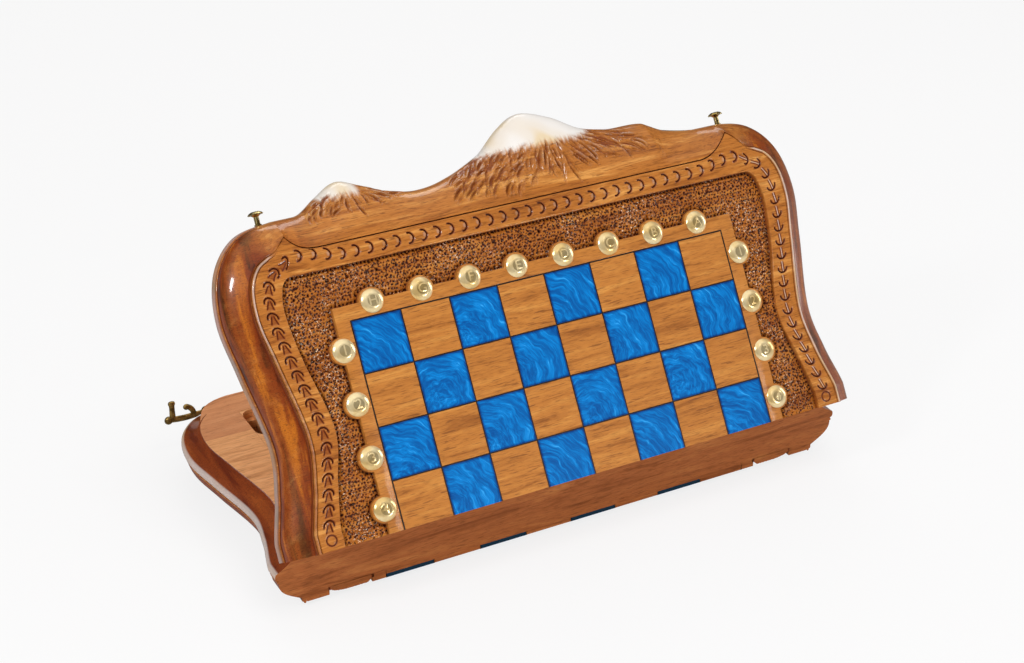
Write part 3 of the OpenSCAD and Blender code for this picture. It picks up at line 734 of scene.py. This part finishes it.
def frontRail(side):
    stations, faceSteps = frontSteps["stations"], frontSteps["face"]
    tree, weights = strokeTree(makeStrokes())
    pitch = 2 * cornerX / round(2 * cornerX / marks["pitch"])
    rings = []
    for i in range(stations + 1):
        x = mix(-cornerX, cornerX, i / stations)
        height = skyAt(x)
        section = frontSection(height, cutAt(x), edgeY - recessY, faceSteps)
        faceStart, grooveStart, bandStart = runs(faceSteps)[2:]
        ring = []
        for j, p in enumerate(section):
            y, d, cut, stroke, paintedSheen = edgeY - p.x, p.y, 0.0, 0.0, 0.0
            if bandStart <= j <= len(section) - 4:
                across = y - edgeY + rowAt(x)
                drop, cut, paintedSheen = markAt(x + cornerX, across, 1, pitch / 2, pitch, "level")
                d -= drop
            elif grooveStart <= j < bandStart:
                # painted shade in the incised line below the mountains
                end = (231.5 + x) / 4 if x < 0 else (horn["rightTip"] + 2 - x) / 3
                cut = 0.9 * smooth((faceZ - 0.35 - d) / 0.8) * smooth(end)
            elif faceStart <= j < grooveStart:
                for co, index, dist in tree.find_range((x, y, 0), strokeLook["reach"]):
                    near = weights[index] * (bell(dist, strokeLook["width"]) - 0.35 * bell(dist - 2.0, 0.8))
                    stroke = near if abs(near) > abs(stroke) else stroke
                d -= strokeLook["depth"] * stroke
                y -= strokeLook["depth"] * stroke * 0.4
                # painted shade in the gouge strokes
                cut = 0.42 * smooth((stroke - 0.3) / 0.6)
                # the right shoulder ends in a facet, with a hollow saddle beyond it
                d -= 2.2 * smooth((x - 148) / 12) * smooth((215 - x) / 30) * smooth((y - inciseY - 3) / 9)
            # pale caps, with painted sheen: highlights on the marks' facets and along the ridges between
            # strokes
            snowAndSheen = max(0.6 * paintedSheen, snowAt(x, y) * (1 - 0.6 * smooth(stroke / 0.8)),
                       0.5 * smooth((-stroke - 0.12) / 0.2) * smooth((y - inciseY - 14) / 30))
            stain = 0.35 * smooth((abs(x) - 190) / 40)
            ring.append((Vector((x, y, d)), cut, stain if j < bandStart else 0.0, snowAndSheen))
        ring.append(ring[0])
        rings.append(ring)
    railPiece(side, "Front", rings)


# ---------- playing face ----------
stud = dict(high=4.3, lobe=12.4, lobeSteps=14, letters=dict(lid="HGFEDCBA", base="ABCDEFGH"),
            numbers=dict(lid="1234", base="8765"))
# Punched ground: the rows along its edges are inset, pitch, size and depth
ground = dict(cell=0.6, pillow=3.7, dotPitch=3.05, dot=1.1, dotDeep=1.5, seed=11, walk=900, half=250,
              rows=((1.5, 3.6, 1.0, 1.4), (10.7, 9.6, 1.5, 0.9)))


def studPlaces():
    places = []
    for c in range(tray["columns"]):
        places.append(((c - 3.5) * square, tray["borderY"] - 1, "letters", c))
    for r in range(tray["rows"]):
        y = fieldY - (r + 0.5) * square
        if r == tray["rows"] - 1:       # the last row is cut short by the hinge
            y = (fieldY - r * square) / 2
        for s in (-1, 1):
            places.append((s * (tray["borderHalf"] - 1), y, "numbers", r))
    return places


def lobe(x, y, across):
    # an arc of the border round a stud, on the left side or across the top
    r, steps = stud["lobe"], stud["lobeSteps"]
    swing = math.acos(1 / r)
    turns = [mix(swing, -swing, k / steps) for k in range(steps + 1)]
    if across:
        return [(x - r * math.sin(a), y + r * math.cos(a)) for a in turns]
    return [(x - r * math.cos(a), y - r * math.sin(a)) for a in turns]


def lobedOutline():
    # border outline from the hinge up the left side, across and down the right side
    h, top = tray["borderHalf"], tray["borderY"]
    left = [(-h, wallGap)]
    for y in sorted(p[1] for p in studList if p[2] == "numbers" and p[0] < 0):
        left += lobe(-(h - 1), y, False)
    left.append((-h, top))
    across = []
    for c in range(tray["columns"]):
        across += lobe((c - 3.5) * square, top - 1, True)
    right = [(-x, y) for x, y in reversed(left)]
    return left + across + right


def borderDistance(x, y):
    h, top = tray["borderHalf"], tray["borderY"]
    dx, dy = abs(x) - h, y - top
    d = math.hypot(max(dx, 0), max(dy, 0)) if max(dx, dy) > 0 else max(dx, dy)
    for px, py, kind, k in studList:
        d = min(d, math.hypot(x - px, y - py) - stud["lobe"])
    return d


studList = studPlaces()


def groundPiece(side):
    rng = random.Random(ground["seed"])
    walk = ground["walk"]
    rimPoints = []
    for s in (-1, 1):
        for k in range(walk + 1):
            t = lastKnot * k / walk
            p = innerAt(t)
            q = innerAt(min(lastKnot, t + 0.01)) - innerAt(max(0, t - 0.01))
            rimPoints.append((Vector((s * p.x, p.y)), Vector((s * q.y, -q.x)).normalized()))
    rim = searchTree([p for p, n in rimPoints])

    def rimDistance(x, y):
        # positive inside the recess
        if abs(x) < cornerX:
            return recessY - y if y > 150 else 99.0
        if y < hingeT:
            return innerKnots[0][0] - abs(x)
        co, index, dist = rim.find((x, y, 0))
        p, n = rimPoints[index]
        return -dist if (x - p.x) * n.x + (y - p.y) * n.y > 0 else dist

    dots = []
    path = lobedOutline()
    walked = 0.0
    inset, pitch, size, deep = ground["rows"][0]
    for k in range(len(path) - 1):          # a row of punched dots along the lobed border
        a, b = Vector(path[k]), Vector(path[k + 1])
        n = Vector((-(b - a).y, (b - a).x)).normalized()
        steps = max(1, int((b - a).length / 0.25))
        for m in range(steps):
            walked += (b - a).length / steps
            if walked >= pitch:
                p = a.lerp(b, m / steps) + n * inset
                if borderDistance(p.x, p.y) > inset - 0.4:
                    dots.append((p.x, p.y, size, deep))
                    walked = 0.0
    for start in (0, walk + 1):             # and one along the band, with larger dimples farther in
        for inset, pitch, size, deep in ground["rows"]:
            walked, last = 0.0, None
            for p, n in rimPoints[start:start + walk + 1]:
                q = p - n * inset
                walked += (q - last).length if last else 0.0
                last = q
                if walked >= pitch:
                    dots.append((q.x, q.y, size, deep))
                    walked = 0.0
    for inset, pitch, size, deep in ground["rows"]:
        for k in range(int(2 * cornerX / pitch) + 1):
            dots.append((-cornerX + k * pitch, recessY - inset, size, deep))
    for r in range(int(ground["half"] / ground["dotPitch"])):       # the rest is punched freely
        for c in range(int(2 * ground["half"] / ground["dotPitch"])):
            x = -ground["half"] + (c + 0.5 * (r % 2) + rng.uniform(-0.33, 0.33)) * ground["dotPitch"]
            y = (r + rng.uniform(-0.33, 0.33)) * ground["dotPitch"]
            size, deep = rng.uniform(0.75, 1.15), rng.uniform(0.75, 1.25)
            if borderDistance(x, y) > 3.0 and rimDistance(x, y) > 3.0:
                dots.append((x, y, size, deep))
    dots = [dot for dot in dots if dot[1] > 2.6]
    punch = searchTree(dots)

    wide, deep = innerKnots[4][0] + 1.5, recessY + 1.2
    columns, rows = int(2 * wide / ground["cell"]), int((deep - wallGap) / ground["cell"])
    bm = shapedGrid(columns, rows, lambda i, j: Vector((mix(-wide, wide, i / columns),
                                                        mix(wallGap, deep, j / rows), 0)))
    layer = bm.verts.layers.float.new("cut")
    drop = []
    floor = faceZ - tray["recess"]
    for v in bm.verts:
        x, y = v.co.x, v.co.y
        a, b = borderDistance(x, y), rimDistance(x, y)
        if a < -1.6 or b < -1.2:
            drop.append(v)
            continue
        a, b = max(a, 0), max(b, 0)
        swell = math.sin(math.pi * min(1.0, a / max(a + b, 1e-6))) ** 0.8 if b < 90 else 1.0
        swell *= smooth(min(a, b) / 5.0)
        d, cut = floor + ground["pillow"] * swell + 0.3 * noise.noise((x * 0.7, y * 0.7, 0)), 0.0
        for co, index, dist in punch.find_range((x, y, 0), 2.4):
            size, strength = dots[index][2], dots[index][3]
            fall = bell(dist, ground["dot"] * size, 2.4)
            d -= ground["dotDeep"] * strength * fall
            cut = max(cut, fall * min(1.0, strength))
        v.co.z = d
        # painted shade: dark in the punched dots and along the foot of the border and the band
        v[layer] = min(0.95, 0.95 * smooth((cut - 0.32) / 0.42) + 0.5 * (1 - smooth(min(a, b) / 1.6)))
    bmesh.ops.delete(bm, geom=drop, context="VERTS")
    rimEdges = [e for e in bm.edges if e.is_boundary]
    grown = bmesh.ops.extrude_edge_only(bm, edges=rimEdges)
    for g in grown["geom"]:
        if isinstance(g, bmesh.types.BMVert):
            g.co.z = floor - 4
    bmesh.ops.holes_fill(bm, edges=[e for e in bm.edges if e.is_boundary], sides=0)
    bmesh.ops.triangulate(bm, faces=[f for f in bm.faces if len(f.verts) > 4])
    frontAsPlank(bm)
    trayPiece(side, "CarvedGround", bm, ["ground", "plank"], "panel", 60)


def faceOutline():
    # the panel's outline from the hinge wall on
    right = [tuple(innerAt(lastKnot * k / 60)) for k in range(61)]
    return right + [(-x, y) for x, y in reversed(right)]


def frontAsPlank(bm):
    # what shows on the hinge side is the edge of the same board as the hinge wall
    bm.normal_update()
    for f in bm.faces:
        if abs(f.normal.y) > 0.9 and f.calc_center_median().y < wallGap + 0.05:
            f.material_index = 1


def addBlock(bm, low, high):
    # a block between two corners
    verts = bmesh.ops.create_cube(bm, size=1.0)["verts"]
    place = Matrix.Translation([(a + b) / 2 for a, b in zip(low, high)])
    bmesh.ops.transform(bm, verts=verts,
                        matrix=place @ Matrix.Diagonal([b - a for a, b in zip(low, high)] + [1]))
    return verts


def panelPieces(side):
    h, field, low = faceZ, tray["fieldHalf"], tray["coreZ"]
    line = tray["lineWidth"] / 2
    trayPiece(side, "PanelCore", outlineSlab(faceOutline(), panelZ, low), ["plank"], "panel")
    # the frame is open at the hinge, so its outline runs round the field in one loop
    top = fieldY + line
    border = outlineSlab(lobedOutline() + [(field + line, wallGap), (field + line, top),
                                           (-field - line, top), (-field - line, wallGap)],
                         low, h, 0.45)
    frontAsPlank(border)
    trayPiece(side, "Border", border, ["field", "plank"], "panel", 30)
    rng = random.Random(5)
    squares = bmesh.new()
    tone = squares.verts.layers.float.new("tone")
    under = h - tray["squareT"]
    addBlock(squares, (-field, wallGap, low), (field, fieldY, under))   # below the blue ones
    for r in range(tray["rows"]):
        for c in range(tray["columns"]):
            if (r + c) % 2 == (0 if side == "lid" else 1):
                continue
            y1 = fieldY - r * square - line
            y0 = fieldY - (r + 1) * square + (line if r < tray["rows"] - 1 else 0)
            luck = rng.uniform(-1, 1)
            for v in addBlock(squares, ((c - 4) * square + line, max(wallGap, y0), under),
                              ((c - 3) * square - line, y1, h)):
                v[tone] = luck
    tops = [e for e in squares.edges if min(v.co.z for v in e.verts) > h - 0.01]
    bmesh.ops.bevel(squares, geom=tops, offset=0.2, segments=1, affect="EDGES", profile=0.5, material=-1)
    frontAsPlank(squares)
    trayPiece(side, "WoodSquares", squares, ["field", "plank"], "panel", 30)
    groundPiece(side)


def hingeWall(side):
    inside = [(half - rail["rebate"], tray["rimGap"]), (half - rail["rebate"], tray["deckT"]),
              (half - tray["wallT"], tray["deckT"]), (half - tray["wallT"], panelZ),
              (innerKnots[0][0], panelZ), (innerKnots[0][0], tray["coreZ"])]
    loop = inside + [(-x, d) for x, d in reversed(inside)]
    bm = outlineSlab(loop, -hingeT, -wallGap)
    # drawn as x and depth, then stood up along y
    stand = Matrix(((1, 0, 0, 0), (0, 0, -1, 0), (0, 1, 0, 0), (0, 0, 0, 1)))
    bmesh.ops.transform(bm, matrix=stand, verts=bm.verts)
    trayPiece(side, "HingeWall", bm, ["plank"], "hinge_wall", 35)


# ---------- brass ----------
domeShape = [(0.0, -0.45), (2.5, -0.57), (4.9, -0.98), (5.5, -0.70), (7.4, -1.35), (9.3, -2.45),
             (10.4, -3.3), (10.85, -3.9)]      # radius, and height from the top
letterLook = dict(size=12.5, extrude=0.4, offset=0.12, sink=0.42, droop=0.022)


def studPiece(side):
    bm, dome = bmesh.new(), bmesh.new()
    layer = bm.verts.layers.float.new("cut")
    patina = dome.verts.layers.float.new("cut")
    profile = [(r, stud["high"] + z) for r, z in domeShape] + [(10.7, 0.0), (0.0, 0.0)]
    verts = [dome.verts.new((x, 0, z)) for x, z in profile]
    for v in verts:
        v[patina] = 0.5 if v.co.x < 5 and v.co.z > 1 else 0.0
    edges = [dome.edges.new((verts[k], verts[k + 1])) for k in range(len(verts) - 1)]
    bmesh.ops.spin(dome, geom=verts + edges, cent=(0, 0, 0), axis=(0, 0, 1), angle=2 * math.pi,
                   steps=36, use_merge=True)
    bmesh.ops.remove_doubles(dome, verts=dome.verts, dist=weldDist)
    bmesh.ops.recalc_face_normals(dome, faces=dome.faces)
    domeMesh = meshOf("dome", dome)
    for x, y, kind, k in studList:
        middle = Vector((x, y, faceZ))
        for v in addMesh(bm, domeMesh):
            v.co += middle
        for v in addMesh(bm, letterMesh(stud[kind][side][k])):      # the letter follows the dome
            across = math.hypot(v.co.x, v.co.y)
            v[layer] = 0.0 if v.co.z > 0 else 1.0
            v.co.z += stud["high"] - letterLook["sink"] - letterLook["droop"] * across * across
            v.co += middle
    bmesh.ops.remove_doubles(bm, verts=bm.verts, dist=weldDist)
    trayPiece(side, "Studs", bm, ["stud"], "studs", 45)


def addMesh(bm, mesh):
    # gives the vertices that come with the mesh
    start = len(bm.verts)
    bm.from_mesh(mesh)
    bm.verts.ensure_lookup_table()
    return bm.verts[start:]


letterStore = {}


def letterMesh(letter):
    if letter not in letterStore:
        curve = bpy.data.curves.new("letter", "FONT")
        curve.body = letter
        for key in ("size", "extrude", "offset"):
            setattr(curve, key, letterLook[key])
        curve.resolution_u = 3
        curve.align_x, curve.align_y = "CENTER", "CENTER"
        thing = newThing("letter", curve)
        bpy.context.view_layer.update()
        shaped = thing.evaluated_get(bpy.context.evaluated_depsgraph_get())
        letterStore[letter] = bpy.data.meshes.new_from_object(shaped)
        bpy.data.objects.remove(thing)
    return letterStore[letter]


# Hooks: measures from the pivot, outwards and up; the arm and the eye as lists of points
hook = dict(pivot=(252.0, 144.73, 41.0), barFrom=4.6, barTo=38.0, barR=(2.3, 3.3), sag=1.7, armX=34.9,
            arm=((-1, 3.3), (4, 3.1), (9, 2.9), (13, 2.8), (15.2, 3.0), (16.4, 3.6), (18.0, 3.7),
                 (19.2, 3.2), (19.8, 2.0)),
            curl=(24.0, 11.0), curlR=2.8, knobR=3.2, ball=(39.2, -0.6, 4.3), sides=16, eyeSteps=40,
            eye=((2.4, -1.3), (2.4, 1.3), (2.6, 1.5), (4.7, 1.5), (5.0, 1.2), (5.0, -1.2), (4.7, -1.5),
                 (2.6, -1.5), (2.4, -1.3)))


def tube(path, flat):
    # a closed tube through (x, z, radius); along y it is flat times as thick
    def pointAt(i, j):
        x, z, r = path[i]
        before, after = path[max(i - 1, 0)], path[min(i + 1, len(path) - 1)]
        along = Vector((after[0] - before[0], after[1] - before[1])).normalized()
        turn = math.tau * j / hook["sides"]
        across = r * math.cos(turn)
        return Vector((x - along.y * across, flat * r * math.sin(turn), z + along.x * across))
    return closeSweep(shapedGrid(len(path) - 1, hook["sides"], pointAt))


def ball(x, z, r):
    turns = [math.radians(a) for a in range(-84, 85, 12)]
    return [(x + r * math.sin(a), z, r * math.cos(a)) for a in turns]


def eyeAt(i, j):
    turn = math.tau * i / hook["eyeSteps"]
    r, y = hook["eye"][j]
    return Vector((r * math.cos(turn), y, r * math.sin(turn)))


def hookPiece(hand, sideSign):
    # the CAD hook with a wider bar, arm, curl and ball, as in the photo
    bar = [mix(hook["barFrom"], hook["ball"][0], i / 24) for i in range(25)]
    middle = (bar[0] + hook["barTo"]) / 2
    reach = hook["barTo"] - middle
    bar = [(x, hook["sag"] * (min(1.0, abs(x - middle) / reach) ** 2 - 1),
            mix(*hook["barR"], smooth((x - 5) / 7))) for x in bar]
    arm = [(hook["armX"], z, r) for z, r in hook["arm"]]
    x, bend = hook["curl"]
    turns = [math.radians(a) for a in range(112, 187, 6)]
    curl = [(x + bend * math.cos(a), bend * math.sin(a), hook["curlR"]) for a in turns]
    knob = ball(curl[0][0] + 0.3, curl[0][1] - 0.4, hook["knobR"])
    whole = bmesh.new()
    for path, flat in ((bar, 0.6), (arm, 0.6), (curl, 0.65), (ball(*hook["ball"]), 0.78), (knob, 0.7)):
        addPart(whole, tube(path, flat))
    addPart(whole, closeSweep(shapedGrid(hook["eyeSteps"], len(hook["eye"]) - 1, eyeAt)))
    x, y, z = hook["pivot"]
    for v in whole.verts:
        v.co = Vector((sideSign * (x + v.co.x), y + v.co.y, z + v.co.z)) * mm
    if sideSign < 0:        # mirroring turned the faces round
        bmesh.ops.reverse_faces(whole, faces=whole.faces)
    newPiece(hand + "Hook", whole, hand + "_hook", ["aged"], [hand + "_hook"], 50)


# ---------- build ----------
cadFinish = {"hinge_pins": "aged", "hook_screws": "aged", "latch_pins": "latch"}
for side in ("base", "lid"):
    sideRail(side, "Left", -1)
    sideRail(side, "Right", 1)
    frontRail(side)
    hingeWall(side)
    panelPieces(side)
    studPiece(side)
    cadFinish.update({side + "_blue_squares": side + "epoxy", side + "_line_inlay": "blackLine",
                      side + "_hinge_leaves": "aged", side + "_hinge_screws": "aged"})
    for node in ("left_deck", "right_deck", "left_drawer", "right_drawer"):
        cadFinish[side + "_" + node] = side + "deck"
    for node in ("front_deck", "runners"):
        cadFinish[side + "_" + node] = side + "deckFront"
    print(side, "tray made")
hookPiece("left", -1)
hookPiece("right", 1)
for node, key in cadFinish.items():
    mesh = frame["nodes"][node].data
    mesh.materials.clear()
    mesh.materials.append(finish[key])

# ---------- studio ----------
bm = bmesh.new()
bmesh.ops.create_grid(bm, x_segments=1, y_segments=1, size=6.0)
floorMesh = meshOf("floor", bm)
floor = newThing("floor", floorMesh)
# white paper: the camera sees it almost without shadow, and varnish reflects it weakly
floorMaterial, tree, shader = newMaterial("white paper floor")
ray = addNode(tree, "LightPath").outputs
paper = addNode(tree, "Mix", {0: ray["Is Glossy Ray"], 6: "#F0EEEE", 7: "#9C9C9C"}, data_type="RGBA")
setInputs(tree, shader, {"Base Color": paper, "Roughness": 1.0, "Specular IOR Level": 0.0})
glow = addNode(tree, "Emission", {"Color": "#F7F7F7", "Strength": 1.0})
share = addNode(tree, "Math", {0: ray["Is Camera Ray"], 1: 0.87}, operation="MULTIPLY")
blend = addNode(tree, "MixShader", {0: share, 1: shader, 2: glow})
end = next(n for n in tree.nodes if n.type == "OUTPUT_MATERIAL")
setInputs(tree, end, {"Surface": blend})
floorMesh.materials.append(floorMaterial)
floor.location.z = -0.0005

world = bpy.data.worlds.new("studio")
bpy.context.scene.world = world
world.use_nodes = True
tree = world.node_tree
tree.nodes.clear()
ray = addNode(tree, "LightPath").outputs
around = addNode(tree, "SeparateXYZ", {"Vector": addNode(tree, "TexCoord").outputs["Generated"]})
room = addNode(tree, "ValToRGB", {"Fac": around.outputs["Z"]}, [(0.55, "#404040"), (0.95, "#E0E0E0")])
room = addNode(tree, "Mix", {0: ray["Is Glossy Ray"], 6: "#C8C8C8", 7: room}, data_type="RGBA")
room = addNode(tree, "Mix", {0: ray["Is Camera Ray"], 6: room, 7: "#F8F8F8"}, data_type="RGBA")
ambient = addNode(tree, "Background", {"Color": room, "Strength": 1.0})
addNode(tree, "OutputWorld", {"Surface": ambient})

# the large front lamps don't show in the varnish, the small and the far ones do
lamps = [dict(name="key", place=(-1.95, -0.6, 1.8), size=(0.24, 0.48), power=23, shines=True),
         dict(name="fill", place=(0.1, -1.3, 2.4), size=(0.9, 0.9), power=31, shines=False),
         dict(name="low", place=(-0.85, -1.0, 0.3), size=(0.5, 0.3), power=2.2, shines=False),
         dict(name="spark", place=(0.8, -1.8, 0.5), size=(0.3, 0.3), power=6, shines=True),
         dict(name="tall", place=(2.3, -0.35, 0.6), size=(0.4, 1.5), power=11, shines=True),
         dict(name="back", place=(0.5, 1.6, 1.8), size=(1.5, 0.7), power=13, shines=True)]
for lamp in lamps:
    light = bpy.data.lights.new(lamp["name"], "AREA")
    light.shape = "RECTANGLE"
    light.size, light.size_y = lamp["size"]
    light.energy = lamp["power"]
    thing = newThing(lamp["name"], light)
    thing.location = lamp["place"]
    thing.visible_glossy = lamp["shines"]
    thing.rotation_euler = (Vector((0, 0, 0.1)) - thing.location).to_track_quat("-Z", "Y").to_euler()

lens = bpy.data.cameras.new("camera")
lens.lens, lens.sensor_width = camera["lens"], camera["sensor"]
eye = newThing("camera", lens)
right, up = Vector(camera["right"]).normalized(), Vector(camera["up"]).normalized()
back = right.cross(up).normalized()
up = back.cross(right)
eye.matrix_world = Matrix((right, up, back)).transposed().to_4x4()
eye.location = camera["place"]
bpy.context.scene.camera = eye
bpy.context.scene.view_settings.view_transform = "Standard"
print("studio made")
